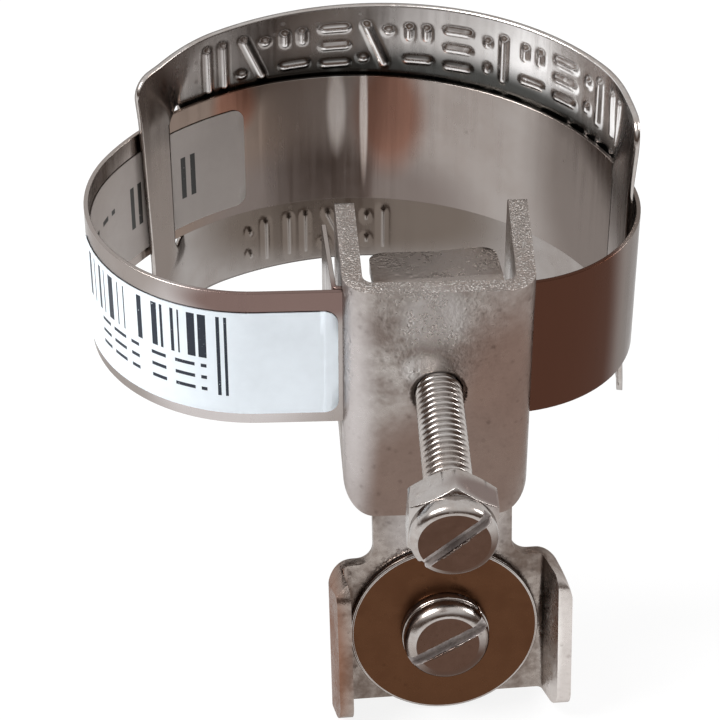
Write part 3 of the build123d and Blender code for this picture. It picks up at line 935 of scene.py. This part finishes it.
# %% [markdown]
# ## The clamping screw
# The place of a screw is a frame on a face, with Z out of it. The clamping screw's is the
# underside of its head, and its length comes from the CAD model's box.


# %% The clamping screw
def facing(origin, out):
    """Frame on a face: X to the right, Y up, Z out of the face."""
    out = Vector(out).normalized()
    right = Vector((0, 0, 1)).cross(out).normalized()
    turned = Matrix((right, out.cross(right), out)).transposed().to_4x4()
    return Matrix.Translation(origin) @ turned


HEAD = 1.6
head_low, head_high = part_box("clamping_screw")
clamping_screw = screw(
    "clamping_screw_threaded",
    facing((0, head_low[1] + HEAD * MM, 0), (0, -1, 0)),
    head=(6.9, HEAD, 0.6), slot=(0.9, 0.9, 42.0),
    length=(head_high[1] - head_low[1]) / MM - HEAD, burr=0.04,
)
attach(clamping_screw, "screw")
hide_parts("clamping_screw")
print(clamping_screw.name, len(clamping_screw.data.polygons), "faces")

# %% [markdown]
# ## The terminal screw
# It stands on the terminal plate, whose place and lean the record gives, raised by the two
# washers. Its head is larger and rounder, and its slot is more worn.

# %% The terminal screw
seat = next(mount for mount in frame["record"]["mounts"] if mount["name"] == "earth_terminal")
out_of_plate = Vector(seat["axis"])
WASHERS = 1.76
terminal_screw = screw(
    "terminal_screw_threaded",
    facing(Vector(seat["pos_m"]) + WASHERS * MM * out_of_plate, out_of_plate),
    head=(7.6, HEAD, 1.0), slot=(1.0, 0.9, 28.0), length=7.0, burr=0.13,
)
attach(terminal_screw, "terminal_screw")
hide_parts("terminal_screw")
print(terminal_screw.name, len(terminal_screw.data.polygons), "faces")

# %% [markdown]
# ## The strap's centre line
# The labels and the tag follow the strap. Its centre line is a few arcs that touch each other,
# so a place is given by the length along that line, a height, and a distance out from the line.
# The line starts where the back of the loop meets its right corner. A curve object could carry
# them too, but the arcs are exact and cost nothing.

# %% The strap's centre line
BACK = 24.35
LOOP = (-6.2, -12.85)


def corner(side, offset, layer):
    """Centre, radius and joining angle of a corner of the loop."""
    rise = LOOP[1] - layer
    radius = (BACK**2 - rise**2 - offset**2) / (2 * (BACK - rise))
    centre = (LOOP[0] + side * offset, layer + radius)
    lift = math.atan2(centre[1] - LOOP[1], offset)
    return centre, radius, lift if side > 0 else math.pi - lift


LEFT, LEFT_RADIUS, LEFT_JOIN = corner(-1, 8.7, -22.8)
RIGHT, RIGHT_RADIUS, RIGHT_JOIN = corner(1, 12.1, -22.3)
BACK_LENGTH = BACK * (LEFT_JOIN - RIGHT_JOIN)
LEFT_LENGTH = LEFT_RADIUS * (math.radians(270) - LEFT_JOIN)


def beside_strap(along, out):
    """Point (x, y) at a length along the centre line and a distance outwards from it."""
    if along < 0:
        centre, radius, angle = RIGHT, RIGHT_RADIUS, RIGHT_JOIN + along / RIGHT_RADIUS
    elif along < BACK_LENGTH:
        centre, radius, angle = LOOP, BACK, RIGHT_JOIN + along / BACK
    elif along < BACK_LENGTH + LEFT_LENGTH:
        centre, radius, angle = LEFT, LEFT_RADIUS, LEFT_JOIN + (along - BACK_LENGTH) / LEFT_RADIUS
    else:
        return (LEFT[0] + along - BACK_LENGTH - LEFT_LENGTH, LEFT[1] - LEFT_RADIUS - out)
    reach = radius + out
    return (centre[0] + reach * math.cos(angle), centre[1] + reach * math.sin(angle))


print("back", round(BACK_LENGTH, 1), "mm, left corner", round(LEFT_LENGTH, 1), "mm")

# %% [markdown]
# ## Labels
# Each label is a thin sheet with rounded corners that lies on the strap. It is a grid of rows
# across the strap, and in the rounded corners the rows lie closer together, so that the
# corners look round. A subdivision modifier would do that too, but all over the label.

# %% Where a label has its rows
STRAP_TOP = 8.9
LABEL_WIDTH = 10.4
LABEL_FOOT = STRAP_TOP - 1.9 - LABEL_WIDTH


def label_stations(start, end, radius):
    """Lengths at which the label has a row, closer together in its rounded corners."""
    curve = [radius * (1 - math.cos(turn * math.pi / 16)) for turn in range(9)]
    straight = end - start - 2 * radius
    return sorted(
        {start + part for part in curve}
        | {end - part for part in curve}
        | {start + radius + straight * step / 70 for step in range(71)}
    )


print("labels:", LABEL_WIDTH, "mm wide, from", round(LABEL_FOOT, 1), "mm up")

# %% [markdown]
# A flat plane with a curve modifier would do for one bend, but here the bends change along
# the way, so the grid is laid along the strap's line point by point. The label's map keeps the
# flat millimetres for the print, and it is turned round on the inner label, which is read from
# the other side.


# %% Label mesh
def label(node, material, start, end, layers, radius=1.2, flip=False):
    """Thin film from one length to another, between two distances out from the strap's line."""
    steps = label_stations(start, end, radius)
    builder = bmesh.new()
    chart = builder.loops.layers.uv.new("millimetres")
    grid, flat = {}, {}
    for column, along in enumerate(steps):
        near = max(0.0, radius - min(along - start, end - along))
        inset = radius - math.sqrt(max(0.0, radius**2 - near**2))
        for row in range(5):
            up = inset + (LABEL_WIDTH - 2 * inset) * row / 4
            for layer, out in enumerate(layers):
                x, y = beside_strap(along, out)
                vertex = builder.verts.new((x * MM, y * MM, (LABEL_FOOT + up) * MM))
                grid[column, row, layer] = vertex
                flat[vertex] = ((end - along) if flip else (along - start), up)
    last = len(steps) - 1
    for column in range(last):
        for row in range(4):
            for layer in (0, 1):
                ring = [(column, row), (column + 1, row), (column + 1, row + 1), (column, row + 1)]
                builder.faces.new([grid[c, r, layer] for c, r in ring])
        for row in (0, 4):
            pairs = [(column, 0), (column + 1, 0), (column + 1, 1), (column, 1)]
            builder.faces.new([grid[c, row, layer] for c, layer in pairs])
    for column in (0, last):
        for row in range(4):
            pairs = [(row, 0), (row + 1, 0), (row + 1, 1), (row, 1)]
            builder.faces.new([grid[column, r, layer] for r, layer in pairs])
    for face in builder.faces:
        for loop in face.loops:
            loop[chart].uv = flat[loop.vert]
    piece = mesh_object(node + "_film", builder)
    piece.data.materials.append(material)
    smooth_shade(piece)
    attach(piece, "body")
    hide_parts(node)
    return piece


print("helper:", label.__name__)

# %% [markdown]
# The outer label runs from beside the channel round to the left, and the inner one from the
# left corner on to the back. Their ends are given by an angle of the corner or of the back, so
# they keep their places if the loop changes.

# %% Both labels
left_end = BACK_LENGTH + LEFT_LENGTH
near_leg = left_end + (-8.25 - LEFT[0])
wrap = left_end - LEFT_RADIUS * math.radians(82.5)
outer = label("outer_label", outer_film, wrap, near_leg, (0.22, 0.32))
reach_back = BACK_LENGTH - BACK * math.radians(38.5)
reach_front = BACK_LENGTH + LEFT_RADIUS * math.radians(47.5)
inner = label("inner_label", inner_film, reach_back, reach_front, (-0.32, -0.22), flip=True)
print(outer.name, round(near_leg - wrap, 1), "mm long")
print(inner.name, round(reach_front - reach_back, 1), "mm long")

# %% [markdown]
# ## Pressed marks
# The real tag is aluminium sheet with marks pressed into it from behind, and here they are
# plain bars, dashes and dots. A bump in the material would be quicker, but from close by the
# marks catch the light as real relief, so the sheet itself is raised. A mark is a few strokes,
# and five kinds of mark take turns in four rows.


# %% Strokes of the marks
def mark_strokes(kind):
    """Plain strokes of one mark, as (x, y, length, angle): bars, dashes and dots."""
    upright, level, leaning = math.radians(90), 0.0, math.radians(68)
    return [
        [(-0.8, 0, 4.0, upright), (0.8, 0, 4.0, upright)],
        [(0, -1.8, 2.0, level), (0, 0, 2.0, level), (0, 1.8, 2.0, level)],
        [(0.1, 0, 4.2, leaning), (-1.1, 1.4, 0.2, level), (1.2, -1.4, 0.2, level)],
        [(-0.7, 0, 4.0, upright), (0.9, 1.3, 0.3, upright), (0.9, -1.3, 0.3, upright)],
        [(-0.8, 1.3, 0.9, upright), (0.8, 1.3, 0.9, upright), (0, -1.5, 2.0, level)],
    ][kind]


RIGHT_SLOT = BACK * math.radians(4.6)
FIRST_MARK, MARK_PITCH = 2.4, 3.75
ROWS_OF_MARKS = [(10.0, 0, 12), (4.1, 0, 12), (-1.8, 1, 11), (-10.2, 7, 11)]
strokes = []
for row, (height, start, end) in enumerate(ROWS_OF_MARKS):
    for index in range(start, end):
        left = RIGHT_SLOT + FIRST_MARK + MARK_PITCH * index
        for x, y, length, angle in mark_strokes((index * 3 + row * 2 + index // 4) % 5):
            strokes.append((left + x, height + y, length / 2, angle))
print("strokes:", len(strokes))

# %% [markdown]
# The nearest stroke tells how far the sheet stands up at a place. Sheet can't be pressed with
# sharp sides, so the height falls off round the stroke in a soft shoulder. Sculpting would
# give this too, but here the press can be made softer by changing one number.

# %% Relief of the marks
MARK_EDGE, SHOULDER, OUT_OF_REACH = 0.58, 0.55, 3


def smooth(value):
    """Smooth step from 0 to 1."""
    value = min(1.0, max(0.0, value))
    return value * value * (3 - 2 * value)


def relief(along, height):
    """How far the press raised the sheet, with a soft shoulder round each stroke."""
    raised = 0.0
    for x, y, reach, angle in strokes:
        if abs(x - along) > OUT_OF_REACH or abs(y - height) > OUT_OF_REACH:
            continue
        right, up = along - x, height - y
        along_it = right * math.cos(angle) + up * math.sin(angle)
        across = up * math.cos(angle) - right * math.sin(angle)
        beyond = max(0.0, abs(along_it) - reach)
        raised = max(raised, smooth((MARK_EDGE - math.hypot(beyond, across)) / SHOULDER))
    return raised


print("relief on the first stroke:", round(relief(*strokes[0][:2]), 2))

# %% [markdown]
# ## The tag's outline
# The tag is a strip 27 mm high with rounded ends and a slot near each end. A flat plate with
# booleans and a bend would leave long thin faces that show in polished metal, so the outline
# is worked out column by column along the strap. There is a column at each end and at each
# side of a slot, and they lie closer together in the rounded ends.

# %% The tag's columns
TAG_MIDDLE, TAG_HALF, TAG_ROUND = 2.2, 13.5, 1.9
SLOT_HALF, SLOT_WIDTH, SLOT_ROUND = 7.05, 2.6, 0.7
END_BACK, START_BEFORE = math.radians(10.5), 3.8
TAG_START = -START_BEFORE
TAG_END = BACK_LENGTH - BACK * END_BACK
LEFT_SLOT = TAG_END - 5.8
SLOTS = (RIGHT_SLOT, LEFT_SLOT)
COLUMN_WIDTH = 0.22


def tag_columns():
    """Lengths along the strap at which the tag has a column."""
    stops = [TAG_START, TAG_START + TAG_ROUND]
    for start in SLOTS:
        stops += [start, start + SLOT_WIDTH]
    stops += [TAG_END - TAG_ROUND, TAG_END]
    curve = [TAG_ROUND * (1 - math.cos(step * math.pi / 20)) for step in range(11)]
    columns = [TAG_START + part for part in curve[:10]]
    for start, end in zip(stops[1:-2], stops[2:-1]):
        count = max(8, round((end - start) / COLUMN_WIDTH))
        columns += [start + (end - start) * step / count for step in range(count)]
    return columns + [TAG_END - part for part in reversed(curve)]


columns = tag_columns()
print("tag:", round(TAG_END - TAG_START, 1), "mm along the strap, in", len(columns), "columns")

# %% [markdown]
# The strap is threaded through the slots: the tag lies outside the strap between them and
# inside it beyond them. Above and below the strap the sheet is free to bend softly from one to
# the other. A lattice could bend a flat tag like this, but a formula keeps it clear of the
# strap when a size changes.

# %% The tag's bend
OFF_STRAP = 0.75


def bend(along, z):
    """Distance out from the strap's centre line: less than 0 is inside the loop."""
    free = smooth((abs(z - TAG_MIDDLE) - SLOT_HALF) / 6.0)
    low = -OFF_STRAP + 0.3 * free
    right = (along - RIGHT_SLOT + 5 * free) / (SLOT_WIDTH + 8 * free)
    left = (LEFT_SLOT + SLOT_WIDTH + 4 * free - along) / (SLOT_WIDTH + 8 * free)
    return low + (OFF_STRAP - low) * min(smooth(right), smooth(left))


ends_and_middle = (TAG_START, (TAG_START + TAG_END) / 2, TAG_END)
print("out of line:", [round(bend(along, TAG_MIDDLE), 2) for along in ends_and_middle], "mm")

# %% [markdown]
# A column has its vertices in three sections: below the slot, beside it and above it. Each
# section has the same number in every column, so the faces form a grid. The rounded ends and
# the rounded corners of the slots move the sections' limits, and the upper edge is a little
# higher in its middle, as it is on the real tag.

# %% Heights in a column
SECTIONS = (24, 46, 34)


def tag_heights(base, drop):
    """Heights of a column's vertices, in three sections: below, beside and above the slot."""
    near = max(0.0, TAG_ROUND - min(base - TAG_START, TAG_END - base))
    inset = TAG_ROUND - math.sqrt(max(0.0, TAG_ROUND**2 - near**2))
    crown = 0.9 * max(0.0, 1 - ((base - 27) / 25) ** 2) - 0.35
    gain = 0.0
    for start in SLOTS:
        side = min(base - start, start + SLOT_WIDTH - base)
        if side >= 0:
            near = max(0.0, SLOT_ROUND - side)
            gain = math.sqrt(max(0.0, SLOT_ROUND**2 - near**2))
    window = SLOT_HALF - SLOT_ROUND + gain
    levels = [
        TAG_MIDDLE - TAG_HALF + drop + inset, TAG_MIDDLE - window,
        TAG_MIDDLE + window, TAG_MIDDLE + TAG_HALF + drop - inset + crown,
    ]
    heights = []
    for count, (start, end) in zip(SECTIONS, zip(levels, levels[1:])):
        heights += [start + (end - start) * step / count for step in range(count)]
    return heights + [levels[-1]]


middle_column = tag_heights((TAG_START + TAG_END) / 2, 0)
print("column:", len(middle_column), "vertices, up to", round(middle_column[-1], 1), "mm")

# %% [markdown]
# ## The tag's sheet
# The tag hangs a little askew, and its ends lean. Its sheet is two layers of vertices, 0.5 mm
# apart, which the marks push inwards. A solidify modifier would give the second layer, but
# each vertex also notes for the material how far it was pressed and whether it is on the
# inner face, which is simplest while the vertices are made.

# %% The tag's vertices
ASKEW = math.tan(math.radians(2.4))
HALF_SHEET = 0.25
middle_turn = 0.5 * (RIGHT_JOIN - START_BEFORE / RIGHT_RADIUS + LEFT_JOIN - END_BACK)
right_hand = Vector((math.sin(middle_turn), -math.cos(middle_turn)))
verts, pressed, index_of = [], [], {}
for column, base in enumerate(columns):
    drop = ASKEW * (Vector(beside_strap(base, 0)) - Vector(LOOP)).dot(right_hand)
    lean_right = smooth((RIGHT_SLOT - base) / (RIGHT_SLOT - TAG_START))
    lean_left = smooth((base - LEFT_SLOT - SLOT_WIDTH) / 3.2)
    for row, z in enumerate(tag_heights(base, drop)):
        up = z - TAG_MIDDLE
        lean = lean_right * math.tan(math.radians(4.5 if up > 0 else 8.5)) + lean_left * ASKEW
        along = base + up * lean
        raised = relief(along, up - drop)
        deep = 0.18 if abs(up) < SLOT_HALF else 0.34
        # How much painted highlight a crest gets: less for the marks low down.
        share = raised if z > 5 else 0.55 * raised
        shifts = (-HALF_SHEET - deep * raised, HALF_SHEET - deep * raised)
        for layer, shift in enumerate(shifts):
            x, y = beside_strap(along, bend(along, z) + shift)
            index_of[column, row, layer] = len(verts)
            verts.append((x * MM, y * MM, z * MM))
            pressed.append((0.0, 0.0) if layer else (share, 1.0))
print("tag:", len(verts), "vertices")

# %% [markdown]
# The faces of the two layers follow the grid and leave out the slots. An edge that belongs to
# one grid cell only is a rim, so it gets a face from layer to layer, in a brighter metal.

# %% The tag's faces
faces, rims = [], {}
for column, (left, right) in enumerate(zip(columns, columns[1:])):
    in_slot = any(start < (left + right) / 2 < start + SLOT_WIDTH for start in SLOTS)
    for row in range(sum(SECTIONS)):
        if in_slot and SECTIONS[0] <= row < SECTIONS[0] + SECTIONS[1]:
            continue
        ring = [(column, row), (column + 1, row), (column + 1, row + 1), (column, row + 1)]
        faces.append([index_of[c, r, 0] for c, r in ring])
        faces.append([index_of[c, r, 1] for c, r in reversed(ring)])
        for start, end in zip(ring, ring[1:] + ring[:1]):
            rims[start, end] = True
sheet_faces = len(faces)
for start, end in rims:
    if (end, start) not in rims:
        pairs = [(end, 0), (start, 0), (start, 1), (end, 1)]
        faces.append([index_of[c, r, layer] for (c, r), layer in pairs])
print("tag:", sheet_faces, "faces of the sheet and", len(faces) - sheet_faces, "of its rims")

# %% [markdown]
# The lists become a mesh in one call. The builder then turns the faces outwards and writes the
# map that the tag's metal reads. The tag rides its own body, because it slides round the loop.

# %% The pressed tag
mesh = bpy.data.meshes.new("tag sheet")
mesh.from_pydata(verts, [], faces)
for number, face in enumerate(mesh.polygons):
    face.material_index = 0 if number < sheet_faces else 1
builder = bmesh.new()
builder.from_mesh(mesh)
bpy.data.meshes.remove(mesh)
chart = builder.loops.layers.uv.new("pressed")
for face in builder.faces:
    for loop in face.loops:
        loop[chart].uv = pressed[loop.vert.index]
tag = mesh_object("warning_tag_pressed", builder)
tag.data.materials.append(tag_metal)
tag.data.materials.append(bright_steel)
smooth_shade(tag)
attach(tag, "tag")
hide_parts("warning_tag")
print("tag:", len(tag.data.polygons), "faces")

# %% [markdown]
# ## Floor
# A white floor. A plain white one would look grey, and more light would bleach the clamp. So
# anything that looks straight at it, or by way of a reflection, sees white, and for all other
# light it is matt paint, which still takes the soft shadow of the clamp.

# %% Floor
low = cad_bounds[0][2]
reach = 1.2
corners = [(-reach, -reach, low), (reach, -reach, low), (reach, reach, low), (-reach, reach, low)]
floor_mesh = bpy.data.meshes.new("floor")
floor_mesh.from_pydata(corners, [], [(0, 1, 2, 3)])
floor = bpy.data.objects.new("floor", floor_mesh)
bpy.context.scene.collection.objects.link(floor)
floor_paint = bpy.data.materials.new("white floor")
floor_paint.use_nodes = True
tree = floor_paint.node_tree
tree.nodes.clear()
rays = put(tree, "LightPath").outputs
seen = calc(tree, "MAXIMUM", rays["Is Camera Ray"], rays["Is Glossy Ray"])
seen = calc(tree, "MAXIMUM", seen, rays["Is Transmission Ray"])
matt = put(tree, "BsdfDiffuse", None, Color=(0.85, 0.85, 0.85, 1))
glow = put(tree, "Emission", None, Color=(1, 1, 1, 1), Strength=1.0)
share = calc(tree, "MULTIPLY", seen, 0.85)
both = put(tree, "MixShader", None, i0=share, i1=matt.outputs[0], i2=glow.outputs[0])
put(tree, "OutputMaterial", None, Surface=both.outputs[0])
floor_mesh.materials.append(floor_paint)
print("floor at", round(low / MM, 1), "mm")

# %% [markdown]
# ## World
# A room is never white all round: it is bright above and behind, and warm and dark towards the
# front, and that is what gives polished metal its dark and light bands. A photographed room
# would do it too, but two ramps of the direction are enough for so small a thing. The camera
# itself sees plain white, so the background stays clean.

# %% World
world = bpy.data.worlds.new("room")
bpy.context.scene.world = world
world.use_nodes = True
tree = world.node_tree
tree.nodes.clear()
direction = put(tree, "TexCoord").outputs["Generated"]
parts = put(tree, "SeparateXYZ", None, Vector=direction).outputs
overhead = ramp(tree, parts["Z"], 0.25, 0.8)
behind = ramp(tree, parts["Y"], -0.15, 0.6)
lit = calc(tree, "MAXIMUM", overhead, behind)
room = mix_colours(tree, lit, (0.10, 0.062, 0.043, 1), (1.0, 1.0, 1.0, 1))
rays = put(tree, "LightPath").outputs
room_glow = put(tree, "Background", None, Color=room, Strength=0.9)
white = put(tree, "Background", None, Color=(1, 1, 1, 1), Strength=1.0)
direct = calc(tree, "MAXIMUM", rays["Is Camera Ray"], rays["Is Transmission Ray"])
both = put(tree, "MixShader", None, i0=direct, i1=room_glow.outputs[0], i2=white.outputs[0])
put(tree, "OutputWorld", None, Surface=both.outputs[0])
print("world:", world.name)

# %% [markdown]
# ## Lamps
# Two square soft lamps, one above on the left and a weaker one on the right. Soft lamps show in
# polished metal as broad bright patches, as a window does, and small ones would show as dots.


# %% Lamps
def soft_lamp(name, place, size, power, aim=(0, -0.01, -0.005)):
    """Square soft lamp that looks at the middle of the clamp."""
    data = bpy.data.lights.new(name, "AREA")
    data.size = size
    data.energy = power
    lamp = bpy.data.objects.new(name, data)
    lamp.location = place
    lamp.rotation_euler = (Vector(aim) - Vector(place)).to_track_quat("-Z", "Y").to_euler()
    bpy.context.scene.collection.objects.link(lamp)
    print(name, power, "W")


soft_lamp("softbox above left", (-0.25, -0.05, 0.35), 0.2, 2.2)
soft_lamp("softbox right", (0.35, 0.05, 0.2), 0.15, 0.8)

# %% [markdown]
# ## Finish
# At the end the view layer is brought up to date.

# %% Finish
bpy.context.view_layer.update()
